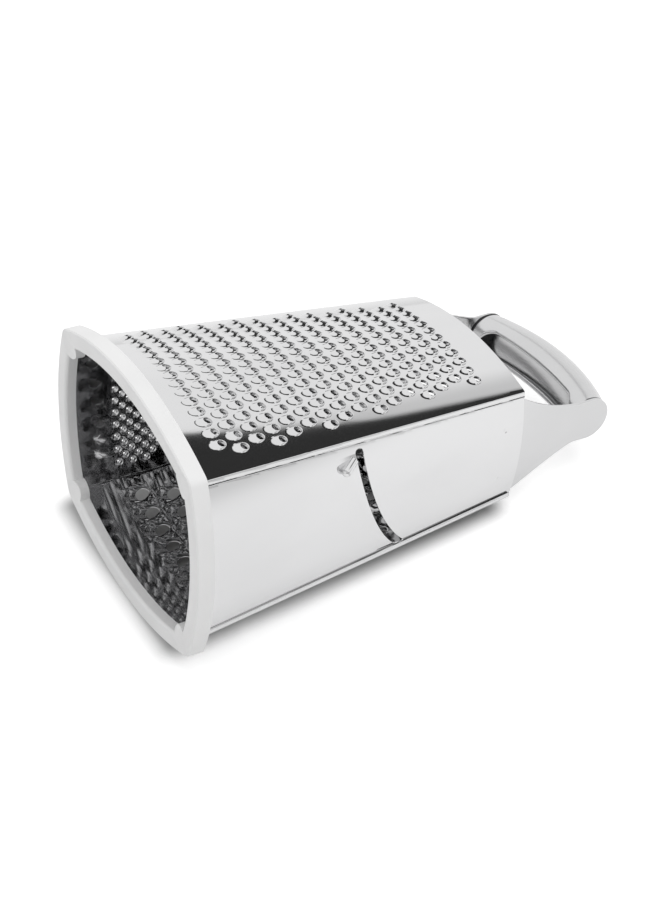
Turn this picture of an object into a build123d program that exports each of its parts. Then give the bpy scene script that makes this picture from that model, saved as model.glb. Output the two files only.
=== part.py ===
from build123d import *
import os
from math import asin, cos, pi, radians, sin, sqrt

# Four-sided box grater, standing on its mouth. The origin is the middle of the resting plane,
# +Z runs up to the handle, -Y is the medium grating side and +X is the slicing side.

# Body
body_height = 170.0
foot_width = 116.2
foot_depth = 81.4
top_width = 89.8
top_depth = 57.4
wide_bow_radius = 143.0
narrow_bow_radius = 112.5
sheet = 0.6
pressed_thinning_share = 0.2

# Folded corner seams
hem_width = 3.6
seam_gap = 0.1
edge_setback = 1.0

# Base ring
ring_height = 7.6
ring_lip_height = 5.3
ring_floor = 2.0
ring_outer_wall = 4.2
ring_lip = 2.1
ring_slot_gap = 0.3
ring_mouth_round = 1.6
ring_foot_chamfer = 0.6
ring_corner_round = 4.0
ring_inner_corner_round = 2.0
corner_lobe_radius = 5.5
corner_lobe_inset_x = 3.6
corner_lobe_inset_y = 2.0
corner_hollow_radius = 25.0
corner_hollow_tilt = 4.0

# Medium grating teeth, across the panel and up it
medium_pitch_across = 6.3
medium_pitch_up = 8.57
medium_rows = 16
medium_first_row = 22.0
medium_half_low = 50.3
medium_half_high = 34.9
medium_tooth_width = 4.0
medium_tooth_length = 4.7
medium_tooth_height = 1.1

# Coarse grating teeth
coarse_pitch_across = 11.1
coarse_pitch_up = 13.5
coarse_rows = 10
coarse_first_row = 29.0
coarse_half_low = 46.0
coarse_half_high = 34.0
coarse_tooth_width = 7.4
coarse_tooth_length = 10.5
coarse_tooth_height = 2.2
coarse_hole_reach = 3.0

# Fine raised points
fine_pitch_across = 6.3
fine_pitch_up = 3.25
fine_rows = 39
fine_first_row = 23.7
fine_half_low = 33.0
fine_half_high = 21.5
fine_point_width = 3.2
fine_point_sides = 3
fine_point_height = 0.9

# Slicing slot, its raised blade and the relief tunnel at its mouthward end
slot_half_span = 28.8
slot_low_end = 81.2
slot_high_end = 107.2
slot_bow = 5.0
slot_width = 3.9
blade_ramp = 6.5
blade_band = 5.4
blade_root_share = 0.2
blade_rise = 1.8
blade_sections = 6
blade_end_share = 0.45
tunnel_radius = 2.7
tunnel_bore = 2.1
tunnel_length = 10.0
tunnel_rise = 2.4
tunnel_lean = 21.5

# Weld dimples that hold the ears
weld_spacing = 25.7
weld_height = 160.0
weld_radius = 1.2
weld_depth = 0.3
weld_sides = 6

# Ears
ear_sheet = 1.2
ear_gap = 0.1
ear_leg = 18.0
ear_half_width = 25.0
ear_waist_height = 191.5
ear_waist_half = 14.2
ear_fold_height = 203.5
ear_neck_height = 205.0
ear_neck_half = 10.3
ear_tip_height = 212.8
ear_tip_radius = 10.5
ear_tip_spread = 84.0

# Grip
grip_end_height = 213.2
grip_end_radius = 10.2
grip_rise = 6.5
grip_middle_radius = 11.3
grip_wall = 0.8
grip_sections = 7
grip_mouth_width = 15.0
grip_mouth_margin = 4.5
liner_sheet = 0.8
liner_drop = 5.0
liner_dish = 1.8
liner_gap = 0.1
gasket = 0.9
plug_depth = 3.5
plug_gap = 0.1
pin_radius = 2.5
pin_reach = 2.8

# One overrun for every cut, and the turn that carries a piece to the opposite side
over = 1.0
half_turn = 180.0

os.makedirs("parts", exist_ok=True)


def half_width(height):
    return (foot_width + (top_width - foot_width) * height / body_height) / 2


def half_depth(height):
    return (foot_depth + (top_depth - foot_depth) * height / body_height) / 2


def bow(radius, half_chord):
    return radius - sqrt(radius**2 - half_chord**2)


def on_circle(centre, radius, angle):
    return (centre[0] + radius * cos(angle), centre[1] + radius * sin(angle))


def arc_between(centre, radius, start, end):
    """An arc about a centre, from one angle to another, by way of its middle."""
    middle = (start + end) / 2
    return ThreePointArc(
        on_circle(centre, radius, start), on_circle(centre, radius, middle), on_circle(centre, radius, end)
    )


def crossing(centre_a, radius_a, centre_b, radius_b):
    """The crossing of two circles that lies on the +X, -Y corner."""
    run, rise = centre_b[0] - centre_a[0], centre_b[1] - centre_a[1]
    apart = sqrt(run**2 + rise**2)
    along = (apart**2 + radius_a**2 - radius_b**2) / (2 * apart)
    aside = sqrt(radius_a**2 - along**2)
    middle = (centre_a[0] + along * run / apart, centre_a[1] + along * rise / apart)
    found = [
        (middle[0] - side * aside * rise / apart, middle[1] + side * aside * run / apart) for side in (1, -1)
    ]
    return max(found, key=lambda point: point[0] - point[1])


def wide_centre(height):
    crown = half_depth(height) + bow(wide_bow_radius, half_width(height))
    return (0, wide_bow_radius - crown)


def narrow_centre(height):
    crown = half_width(height) + bow(narrow_bow_radius, half_depth(height))
    return (crown - narrow_bow_radius, 0)


def wide_outline(height):
    """A wide panel's sheet at one height: the bowed face and the hems folded round both corners."""
    face, side = wide_centre(height), narrow_centre(height)
    inner_face, inner_side = wide_bow_radius - sheet, narrow_bow_radius - sheet
    corner_angle = -asin(half_depth(height) / narrow_bow_radius)
    hem_angle = corner_angle + hem_width / narrow_bow_radius
    corner = (half_width(height), -half_depth(height))
    inside = crossing(face, inner_face, side, inner_side)
    hem_out = on_circle(side, narrow_bow_radius, hem_angle)
    hem_in = on_circle(side, inner_side, hem_angle)
    hem_middle_out = on_circle(side, narrow_bow_radius, (corner_angle + hem_angle) / 2)
    hem_middle_in = on_circle(side, inner_side, (corner_angle + hem_angle) / 2)

    def mirrored(point):
        return (-point[0], point[1])

    ThreePointArc(mirrored(corner), (0, face[1] - wide_bow_radius), corner)
    ThreePointArc(corner, hem_middle_out, hem_out)
    Line(hem_out, hem_in)
    ThreePointArc(hem_in, hem_middle_in, inside)
    ThreePointArc(inside, (0, face[1] - inner_face), mirrored(inside))
    ThreePointArc(mirrored(inside), mirrored(hem_middle_in), mirrored(hem_in))
    Line(mirrored(hem_in), mirrored(hem_out))
    ThreePointArc(mirrored(hem_out), mirrored(hem_middle_out), mirrored(corner))


def bowed_strip(centre, outer_radius, thickness, half_angle):
    """A strip of sheet bowed towards +X, the same on both sides of the X axis."""
    inner_radius = outer_radius - thickness
    arc_between(centre, outer_radius, -half_angle, half_angle)
    Line(on_circle(centre, outer_radius, half_angle), on_circle(centre, inner_radius, half_angle))
    arc_between(centre, inner_radius, half_angle, -half_angle)
    Line(on_circle(centre, inner_radius, -half_angle), on_circle(centre, outer_radius, -half_angle))


narrow_radius = narrow_bow_radius - sheet - seam_gap


def narrow_half_angle(height):
    return asin(half_depth(height) / narrow_bow_radius) - edge_setback / narrow_bow_radius


def turned(plane, turn):
    return Plane(Location((0, 0, 0), (0, 0, turn)) * plane.location)


def body_plane(height, turn):
    return turned(Plane.XY.offset(height), turn)


def face_place(height, offset, centre_at, half_at, radius, outwards):
    """A plane on a bowed panel: X across it, Y up it and Z out of it."""
    share = (height - ring_floor) / (body_height - ring_floor)
    half_angles = [asin(half_at(level) / radius) for level in (ring_floor, body_height)]
    turn = offset / radius / (half_angles[0] * (1 - share) + half_angles[1] * share)
    ends = []
    for level, half_angle in zip((ring_floor, body_height), half_angles):
        point = on_circle(centre_at(level), radius, outwards + turn * half_angle)
        ends.append(Vector(point[0], point[1], level))
    up = (ends[1] - ends[0]).normalized()
    heading = outwards + turn * (half_angles[0] * (1 - share) + half_angles[1] * share)
    across = Vector(-sin(heading), cos(heading), 0)
    return Plane(origin=ends[0] + (ends[1] - ends[0]) * share, x_dir=across, z_dir=across.cross(up))


def wide_place(height, offset):
    return face_place(height, offset, wide_centre, half_width, wide_bow_radius, -pi / 2)


def narrow_place(height, offset):
    return face_place(height, offset, narrow_centre, half_depth, narrow_radius, 0)


def staggered(rows, first_row, pitch_up, pitch_across, half_low, half_high):
    """Heights and offsets of a staggered field that narrows upwards with the panel."""
    spots = []
    for row in range(rows):
        height = first_row + row * pitch_up
        limit = half_low + (half_high - half_low) * row / (rows - 1)
        shift = pitch_across / 2 * (row % 2)
        steps = int((limit - shift) / pitch_across)
        for step in range(-steps - row % 2, steps + 1):
            spots.append((height, step * pitch_across + shift))
    return spots


def hooded_tooth(width, length, height, reach):
    """A pressed hood, open towards the handle, and the cut that opens it and reaches past it."""
    wall = sheet * (1 - pressed_thinning_share)
    with BuildPart() as hood:
        with BuildSketch(Plane.XY.offset(-sheet / 2)):
            Polygon((-width / 2, 0), (0, -length), (width / 2, 0), align=None)
        loft(sections=[hood.pending_faces[0], Vertex(0, 0, height)])
    half, tail = width / 2 - wall, length - 2 * wall
    front = [(half, 0), (0, reach)] if reach else [(half, 0)]
    with BuildPart() as opening:
        with BuildSketch(Plane.XY.offset(-sheet - over)):
            Polygon((-half, 0), (0, -tail), *front, align=None)
        loft(sections=[opening.pending_faces[0], Vertex(0, over / 2 if reach else 0, height)])
    return hood.part, opening.part


medium_spots = staggered(
    medium_rows, medium_first_row, medium_pitch_up, medium_pitch_across, medium_half_low, medium_half_high
)
coarse_spots = staggered(
    coarse_rows, coarse_first_row, coarse_pitch_up, coarse_pitch_across, coarse_half_low, coarse_half_high
)
fine_spots = staggered(
    fine_rows, fine_first_row, fine_pitch_up, fine_pitch_across, fine_half_low, fine_half_high
)


# Front panel: the medium grating side
hood, opening = hooded_tooth(medium_tooth_width, medium_tooth_length, medium_tooth_height, 0)
with BuildPart() as front_panel:
    for level in (ring_floor, body_height):
        with BuildSketch(body_plane(level, 0)):
            with BuildLine():
                wide_outline(level)
            make_face()
    loft(ruled=True)
    with Locations([wide_place(height, offset).location for height, offset in medium_spots]):
        add(hood, clean=False)
        add(opening, mode=Mode.SUBTRACT, clean=False)
front_panel.part.label = "front_panel"
export_step(front_panel.part, "parts/front_panel.step")

# Back panel: the coarse grating side
hood, opening = hooded_tooth(
    coarse_tooth_width, coarse_tooth_length, coarse_tooth_height, coarse_hole_reach
)
with BuildPart() as back_panel:
    for level in (ring_floor, body_height):
        with BuildSketch(body_plane(level, half_turn)):
            with BuildLine():
                wide_outline(level)
            make_face()
    loft(ruled=True)
    places = [turned(wide_place(height, offset), half_turn) for height, offset in coarse_spots]
    with Locations([place.location for place in places]):
        add(hood, clean=False)
        add(opening, mode=Mode.SUBTRACT, clean=False)
back_panel.part.label = "back_panel"
export_step(back_panel.part, "parts/back_panel.step")


def weld_places(turn):
    return [turned(narrow_place(weld_height, side * weld_spacing / 2), turn) for side in (-1, 1)]


with BuildPart() as weld_dent:
    with BuildSketch(Plane.XY.offset(over)):
        RegularPolygon(weld_radius * (over + weld_depth) / weld_depth, weld_sides)
    loft(sections=[weld_dent.pending_faces[0], Vertex(0, 0, -weld_depth)])

# Left panel: the fine side
with BuildPart() as point:
    with BuildSketch(Plane.XY.offset(-sheet / 2)):
        RegularPolygon(fine_point_width / 2, fine_point_sides)
    loft(sections=[point.pending_faces[0], Vertex(0, 0, fine_point_height)])
with BuildPart() as left_panel:
    for level in (ring_floor, body_height):
        with BuildSketch(body_plane(level, half_turn)):
            with BuildLine():
                bowed_strip(narrow_centre(level), narrow_radius, sheet, narrow_half_angle(level))
            make_face()
    loft(ruled=True)
    places = [turned(narrow_place(height, offset), half_turn) for height, offset in fine_spots]
    with Locations([place.location for place in places]):
        add(point.part, clean=False)
    with Locations(weld_places(half_turn)):
        add(weld_dent.part, mode=Mode.SUBTRACT)
left_panel.part.label = "left_panel"
export_step(left_panel.part, "parts/left_panel.step")

# Right panel: the slicing side. The slot's arc runs across the panel, bowed towards the mouth.
slot_middle = (slot_low_end + slot_high_end) / 2
slot_slope = Vector(2 * slot_half_span, slot_high_end - slot_low_end).normalized()
slot_crest = Vector(0, slot_middle) + Vector(slot_slope.Y, -slot_slope.X) * slot_bow
with BuildLine() as slot_line:
    ThreePointArc((-slot_half_span, slot_low_end), slot_crest, (slot_half_span, slot_high_end))
slot_arc = slot_line.edge()


def blade_section_plane(share):
    """Across the slot at a share of its length: X out of the panel and Y towards the mouth."""
    spot = slot_arc @ share
    run = slot_arc % share
    edge = spot + Vector(run.Y, -run.X) * slot_width / 2
    face = narrow_place(edge.Y, edge.X)
    along = face.x_dir * run.X + face.y_dir * run.Y
    return Plane(origin=face.origin, x_dir=face.z_dir, z_dir=along)


blade_shares = [station / (blade_sections - 1) for station in range(blade_sections)]


def blade_taper(share):
    """The ramp narrows towards the slot's handleward end."""
    return 1 - (1 - blade_end_share) * share**2


with BuildPart() as right_panel:
    for level in (ring_floor, body_height):
        with BuildSketch(body_plane(level, 0)):
            with BuildLine():
                bowed_strip(narrow_centre(level), narrow_radius, sheet, narrow_half_angle(level))
            make_face()
    loft(ruled=True)
    with BuildSketch(Plane.YZ):
        SlotArc(slot_arc, slot_width)
    extrude(amount=foot_width, mode=Mode.SUBTRACT)
    for share in blade_shares:
        with BuildSketch(blade_section_plane(share)):
            with Locations((0, -slot_width / 2)):
                Rectangle(
                    2 * (blade_rise + over),
                    slot_width / 2 + blade_band * blade_taper(share),
                    align=(Align.CENTER, Align.MIN),
                )
    loft(ruled=True, mode=Mode.SUBTRACT)
    for share in blade_shares:
        rise = blade_rise * sqrt(sin(pi * share))
        with BuildSketch(blade_section_plane(share)):
            Polygon(
                (-sheet * (1 - blade_root_share), blade_ramp * blade_taper(share)),
                (-sheet * blade_root_share, blade_ramp * blade_taper(share)),
                (rise, 0),
                (rise - sheet, 0),
                align=None,
            )
    loft(ruled=True)
    tunnel_foot = narrow_place(slot_low_end, -slot_half_span)
    tunnel_start = tunnel_foot.origin + tunnel_foot.z_dir * (tunnel_rise - sheet)
    lean = radians(tunnel_lean)
    tunnel_run = tunnel_foot.x_dir * sin(lean) - tunnel_foot.y_dir * cos(lean)
    tunnel_plane = Plane(origin=tunnel_start, x_dir=tunnel_foot.z_dir, z_dir=tunnel_run)
    with BuildSketch(tunnel_plane):
        Circle(tunnel_radius)
    extrude(amount=tunnel_length)
    with BuildSketch(tunnel_plane.offset(-tunnel_bore)):
        Circle(tunnel_bore)
    extrude(amount=tunnel_bore + tunnel_length + over, mode=Mode.SUBTRACT)
    with Locations(weld_places(0)):
        add(weld_dent.part, mode=Mode.SUBTRACT)
right_panel.part.label = "right_panel"
export_step(right_panel.part, "parts/right_panel.step")


def body_outline(height):
    """The closed outer outline of the four bowed faces at one height."""
    crown_x = half_width(height) + bow(narrow_bow_radius, half_depth(height))
    crown_y = half_depth(height) + bow(wide_bow_radius, half_width(height))
    corner_x, corner_y = half_width(height), half_depth(height)
    ThreePointArc((-corner_x, -corner_y), (0, -crown_y), (corner_x, -corner_y))
    ThreePointArc((corner_x, -corner_y), (crown_x, 0), (corner_x, corner_y))
    ThreePointArc((corner_x, corner_y), (0, crown_y), (-corner_x, corner_y))
    ThreePointArc((-corner_x, corner_y), (-crown_x, 0), (-corner_x, -corner_y))


def outline_sketch(height, outwards, corner_round=0):
    with BuildSketch(Plane.XY.offset(height)) as outline:
        with BuildLine():
            body_outline(height)
        make_face()
        offset(amount=outwards, kind=Kind.INTERSECTION)
        if corner_round:
            fillet(vertices(), corner_round)
    return outline.sketch


# Base ring: a channel that grips the lower edges of the four panels
seam_thickness = 2 * sheet + seam_gap
lobe_x, lobe_y = foot_width / 2 - corner_lobe_inset_x, foot_depth / 2 - corner_lobe_inset_y
with BuildPart() as ring_slot:
    for level in (ring_floor, ring_height + over):
        add(outline_sketch(level, ring_slot_gap))
    loft(ruled=True)
    for level in (ring_floor - over, ring_height + 2 * over):
        add(outline_sketch(level, -seam_thickness - ring_slot_gap))
    loft(ruled=True, mode=Mode.SUBTRACT)
with BuildPart() as base_ring:
    add(outline_sketch(0, ring_slot_gap + ring_outer_wall, ring_corner_round))
    extrude(amount=ring_height)
    add(outline_sketch(0, -seam_thickness - ring_slot_gap - ring_lip, ring_inner_corner_round))
    extrude(amount=ring_height, mode=Mode.SUBTRACT)
    foot_face = faces().sort_by(Axis.Z)[0]
    fillet(foot_face.inner_wires()[0].edges(), ring_mouth_round)
    foot_face = faces().sort_by(Axis.Z)[0]
    chamfer(foot_face.outer_wire().edges(), ring_foot_chamfer)
    with Locations([(x * lobe_x, y * lobe_y) for x in (-1, 1) for y in (-1, 1)]):
        Cylinder(corner_lobe_radius, ring_lip_height, align=(Align.CENTER, Align.CENTER, Align.MIN))
    add(outline_sketch(ring_lip_height, -ring_slot_gap - sheet))
    extrude(amount=ring_height, mode=Mode.SUBTRACT)
    add(ring_slot.part, mode=Mode.SUBTRACT)
    tilt = radians(corner_hollow_tilt)
    for x in (-1, 1):
        for y in (-1, 1):
            tip = Vector(x * (foot_width / 2 + ring_outer_wall), y * (foot_depth / 2 + ring_outer_wall))
            inward = (Vector(x * lobe_x, y * lobe_y) - tip).normalized()
            along = inward * cos(tilt) + Vector(0, 0, sin(tilt))
            below = inward.cross(Vector(0, 0, 1)).cross(along).normalized() * corner_hollow_radius
            with Locations(Plane(origin=tip - (below if below.Z > 0 else -below), z_dir=along)):
                Cylinder(
                    corner_hollow_radius,
                    corner_hollow_radius,
                    align=(Align.CENTER, Align.CENTER, Align.MIN),
                    mode=Mode.SUBTRACT,
                )
base_ring.part.label = "base_ring"
export_step(base_ring.part, "parts/base_ring.step")


def ear_strip(outer_x, sagitta):
    """The ear's sheet at one height, bowed by a sagitta or flat."""
    inner_x, half = outer_x - ear_sheet, ear_half_width + over
    if sagitta:
        ThreePointArc((outer_x - sagitta, -half), (outer_x, 0), (outer_x - sagitta, half))
    else:
        Line((outer_x, -half), (outer_x, half))
    Line((outer_x - sagitta, half), (inner_x - sagitta, half))
    if sagitta:
        ThreePointArc((inner_x - sagitta, half), (inner_x, 0), (inner_x - sagitta, -half))
    else:
        Line((inner_x, half), (inner_x, -half))
    Line((inner_x - sagitta, -half), (outer_x - sagitta, -half))


def ear_crown(height):
    """The middle of the ear's outer face, against the inner face of the narrow panel."""
    return narrow_centre(height)[0] + narrow_radius - sheet - ear_gap


def ear(turn):
    leg_foot = body_height - ear_leg
    leg_bow = bow(narrow_radius - sheet - ear_gap, ear_half_width + over)
    tip_x = ear_tip_spread / 2
    stages = [
        (leg_foot, ear_crown(leg_foot), leg_bow),
        (body_height, ear_crown(body_height), leg_bow),
        (ear_fold_height, tip_x, 0),
        (ear_tip_height + ear_tip_radius + over, tip_x, 0),
    ]
    with BuildPart() as blank:
        for low, high in zip(stages, stages[1:]):
            for level, outer_x, sagitta in (low, high):
                with BuildSketch(body_plane(level, turn)):
                    with BuildLine():
                        ear_strip(outer_x, sagitta)
                    make_face()
            loft(ruled=True)
        with BuildSketch(turned(Plane.YZ, turn)):
            with BuildLine():
                Polyline(
                    (-ear_half_width, body_height),
                    (-ear_half_width, leg_foot - over),
                    (ear_half_width, leg_foot - over),
                    (ear_half_width, body_height),
                )
                for side in (-1, 1):
                    ThreePointArc(
                        (side * ear_half_width, body_height),
                        (side * ear_waist_half, ear_waist_height),
                        (side * ear_neck_half, ear_neck_height),
                    )
                    Line((side * ear_neck_half, ear_neck_height), (side * ear_tip_radius, ear_tip_height))
                ThreePointArc(
                    (-ear_tip_radius, ear_tip_height),
                    (0, ear_tip_height + ear_tip_radius),
                    (ear_tip_radius, ear_tip_height),
                )
            make_face()
        extrude(amount=foot_width, mode=Mode.INTERSECT)
    return blank.part


# Grip: a hollow arched tube between the ears, open underneath where the dished liner closes it
ear_inside = ear_tip_spread / 2 - ear_sheet
grip_half = ear_inside - gasket


def grip_centre(x):
    return grip_end_height + grip_rise * (1 - (x / grip_half) ** 2)


def grip_radius(x):
    return grip_middle_radius + (grip_end_radius - grip_middle_radius) * (x / grip_half) ** 2


def grip_stations(half):
    return [half * (2 * station / (grip_sections - 1) - 1) for station in range(grip_sections)]


with BuildPart() as grip_shell:
    for wall, mode in ((0, Mode.ADD), (grip_wall, Mode.SUBTRACT)):
        for x in grip_stations(grip_half):
            with BuildSketch(Plane.YZ.offset(x)):
                with Locations((0, grip_centre(x))):
                    Circle(grip_radius(x) - wall)
        loft(mode=mode)
    with BuildSketch(Plane.XY.offset(grip_end_height - grip_middle_radius - over)):
        SlotOverall(2 * (grip_half - grip_mouth_margin), grip_mouth_width)
    extrude(amount=grip_middle_radius + over, mode=Mode.SUBTRACT)
grip_shell.part.label = "grip_shell"
export_step(grip_shell.part, "parts/grip_shell.step")

with BuildPart() as grip_liner:
    for x in grip_stations(grip_half - plug_depth - liner_gap):
        low = grip_centre(x) - liner_drop
        high = low + liner_sheet
        half = sqrt((grip_radius(x) - grip_wall) ** 2 - liner_drop**2) - liner_gap
        with BuildSketch(Plane.YZ.offset(x)):
            with BuildLine():
                ThreePointArc((-half, low), (0, low + liner_dish), (half, low))
                Line((half, low), (half, high))
                ThreePointArc((half, high), (0, high + liner_dish), (-half, high))
                Line((-half, high), (-half, low))
            make_face()
    loft()
grip_liner.part.label = "grip_liner"
export_step(grip_liner.part, "parts/grip_liner.step")

# Each side's ear, the plug that closes the grip's end and the pin that carries it
for name, side in (("right", 1), ("left", -1)):
    turn = 0 if side > 0 else half_turn
    ear_part = ear(turn)
    ear_part.label = name + "_ear"
    export_step(ear_part, "parts/" + name + "_ear.step")
    end_plane = turned(Plane.YZ, turn)
    with BuildPart() as plug:
        with BuildSketch(end_plane.offset(grip_half)):
            with Locations((0, grip_end_height)):
                Circle(grip_end_radius)
        extrude(amount=gasket)
        for depth in (0, plug_depth):
            x = grip_half - depth
            with BuildSketch(end_plane.offset(x)):
                with Locations((0, grip_centre(x))):
                    Circle(grip_radius(x) - grip_wall - plug_gap)
        loft()
        with BuildSketch(end_plane.offset(ear_inside)):
            with Locations((0, grip_end_height)):
                Circle(pin_radius + plug_gap)
        extrude(amount=-gasket - pin_reach - plug_gap, mode=Mode.SUBTRACT)
    plug.part.label = name + "_grip_plug"
    export_step(plug.part, "parts/" + name + "_grip_plug.step")
    with BuildPart() as pin:
        with BuildSketch(end_plane.offset(ear_inside)):
            with Locations((0, grip_end_height)):
                Circle(pin_radius)
        extrude(amount=-gasket - pin_reach)
    pin.part.label = name + "_grip_pin"
    export_step(pin.part, "parts/" + name + "_grip_pin.step")
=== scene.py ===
"""A four-sided box grater: the looks of its panels, ring, ears and grip, and the stage they are seen on."""

from contextlib import contextmanager
from math import asin, atan, atan2, ceil, cos, floor, pi, radians, sin, sqrt, tan

import bmesh
import bpy
from bpy.props import FloatProperty, FloatVectorProperty, IntProperty, PointerProperty
from mathutils import Matrix, Vector


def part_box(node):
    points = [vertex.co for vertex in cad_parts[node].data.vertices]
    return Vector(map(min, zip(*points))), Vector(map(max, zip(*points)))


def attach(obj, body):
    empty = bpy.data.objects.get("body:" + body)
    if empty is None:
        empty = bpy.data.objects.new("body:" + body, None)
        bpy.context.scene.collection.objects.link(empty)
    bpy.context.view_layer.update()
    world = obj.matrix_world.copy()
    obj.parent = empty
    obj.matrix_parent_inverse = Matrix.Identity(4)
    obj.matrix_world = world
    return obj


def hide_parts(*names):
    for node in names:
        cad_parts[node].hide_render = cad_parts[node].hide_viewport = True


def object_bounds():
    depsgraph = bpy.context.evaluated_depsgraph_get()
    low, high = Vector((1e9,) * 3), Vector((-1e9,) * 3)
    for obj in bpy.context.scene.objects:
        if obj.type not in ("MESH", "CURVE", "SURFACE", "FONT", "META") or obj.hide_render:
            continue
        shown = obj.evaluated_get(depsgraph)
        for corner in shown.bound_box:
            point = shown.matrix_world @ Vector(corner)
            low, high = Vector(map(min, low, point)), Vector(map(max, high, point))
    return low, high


bl_info = {
    "name": "Box grater",
    "version": (1, 0, 0),
    "blender": (4, 5, 0),
    "location": "View3D > Sidebar > Grater",
    "description": "Builds a four-sided steel box grater with a white ring and an arched grip",
    "category": "Add Mesh",
}

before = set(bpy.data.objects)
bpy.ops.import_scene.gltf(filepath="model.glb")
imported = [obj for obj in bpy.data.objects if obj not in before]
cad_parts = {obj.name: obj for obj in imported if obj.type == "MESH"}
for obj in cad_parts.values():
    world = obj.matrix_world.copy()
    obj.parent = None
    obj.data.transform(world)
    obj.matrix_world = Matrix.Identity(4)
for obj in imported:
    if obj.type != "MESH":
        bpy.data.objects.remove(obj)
CAD_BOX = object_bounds()
PANEL_LOW, PANEL_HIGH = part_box("right_panel")
CLOSE = 0.00001  # points of a mesh that are nearer than this are one point


def length(name, description, default):
    return FloatProperty(name=name, description=description, default=default, unit="LENGTH", precision=5)


def share(name, description, default):
    return FloatProperty(name=name, description=description, default=default, subtype="FACTOR", min=0, max=1)


def count(name, description, default):
    return IntProperty(name=name, description=description, default=default, min=1)


def colour(name, description, default):
    return FloatVectorProperty(
        name=name, description=description, default=default, size=3, subtype="COLOR", min=0, max=1
    )


def position(name, description, default):
    return FloatVectorProperty(
        name=name, description=description, default=default, size=3, subtype="TRANSLATION", unit="LENGTH",
        precision=5,
    )


def direction(name, description, default):
    return FloatVectorProperty(name=name, description=description, default=default, size=3, subtype="XYZ")


class BodySizes(bpy.types.PropertyGroup):
    """The tapered body that the four sheets share."""

    foot: length("Foot of the sheets", "Height of the sheets' lower edges in the ring", PANEL_LOW.z)
    height: length("Body height", "Height of the sheets' upper edges", PANEL_HIGH.z)
    foot_width: length("Width at the mouth", "Corner to corner across the wide faces", 0.1162)
    foot_depth: length("Depth at the mouth", "Corner to corner across the narrow faces", 0.0814)
    top_width: length("Width at the top", "Corner to corner across the wide faces", 0.0898)
    top_depth: length("Depth at the top", "Corner to corner across the narrow faces", 0.0574)
    wide_bow: length("Wide bow radius", "Radius that the wide faces are bowed to", 0.143)
    narrow_bow: length("Narrow bow radius", "Radius that the narrow faces are bowed to", 0.1125)
    sheet: length("Sheet", "Thickness of the panels", 0.0006)
    seam_gap: length("Seam gap", "Gap between a hem and the sheet that it holds", 0.0001)
    setback: length("Edge setback", "How far a narrow sheet ends short of the corner", 0.001)
    fold: length("Fold radius", "Outside radius of the folded corner", 0.0011)
    hem: length("Hem", "Width of the hem folded over a corner", 0.0038)
    groove: length("Groove place", "Distance from the corner to the groove in the hem", 0.0021)
    groove_width: length("Groove width", "Half the width of the groove in the hem", 0.0005)
    groove_depth: length("Groove depth", "Depth of the groove in the hem", 0.00032)
    tab_round: length("Tab round", "Corner cut from the hem's upper end", 0.0016)
    thinning: share("Thinning", "How much the sheet thins out at a pressed rim", 0.65)


# Each size of a staggered field of teeth: its kind, name and description, then its defaults for the
# medium, the coarse and the fine teeth
TOOTH_SIZES = {
    "across": (length, "Pitch across", "Distance between teeth in a row", 0.0063, 0.0111, 0.0063),
    "up": (length, "Pitch up", "Distance between rows", 0.00857, 0.0135, 0.00325),
    "rows": (count, "Rows", "Rows of teeth", 16, 10, 39),
    "first_row": (length, "First row", "Height of the lowest row", 0.022, 0.029, 0.0237),
    "half_low": (length, "Half width below", "Half the width of the lowest row", 0.0503, 0.046, 0.033),
    "half_high": (length, "Half width above", "Half the width of the highest row", 0.0349, 0.034, 0.0215),
    "shift": (length, "Shift", "How far the whole field lies to one side", 0, 0.0016, 0),
    "hole_half_width": (length, "Half hole width", "Half the opening's width", 0.00175, 0.0032, 0.00042),
    "hole_half_length": (length, "Half hole length", "Half the opening's length", 0.0019, 0.0034, 0.00042),
    "hole_middle": (length, "Hole middle", "How far handleward the opening's middle lies", 0.0009, 0.0008, 0),
    "half_width": (length, "Half tooth width", "Half the pressed form's width", 0.00255, 0.0043, 0.0021),
    "half_length": (length, "Half tooth length", "Half the pressed form's length", 0.0038, 0.0065, 0.0021),
    "middle": (length, "Tooth middle", "How far handleward the form's middle lies", -0.0009, -0.0019, 0),
    "rise": (length, "Tooth rise", "Height of the opening's middle above the sheet", 0.0009, 0.0014, 0.00115),
    "lean": (share, "Opening lean", "Fall of a hood's opening, or jags of a point's rim", 0.12, 0.08, 0.15),
}


def tooth_group(title, words, column):
    """Makes the property group that holds one kind of tooth's defaults."""
    fields = {
        key: kind(name, description, defaults[column])
        for key, (kind, name, description, *defaults) in TOOTH_SIZES.items()
    }
    return type(title, (bpy.types.PropertyGroup,), {"__doc__": words, "__annotations__": fields})


MediumTeeth = tooth_group("MediumTeeth", "The staggered field of medium teeth.", 0)
CoarseTeeth = tooth_group("CoarseTeeth", "The staggered field of coarse teeth.", 1)
FineTeeth = tooth_group("FineTeeth", "The staggered field of fine raised points.", 2)


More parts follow.
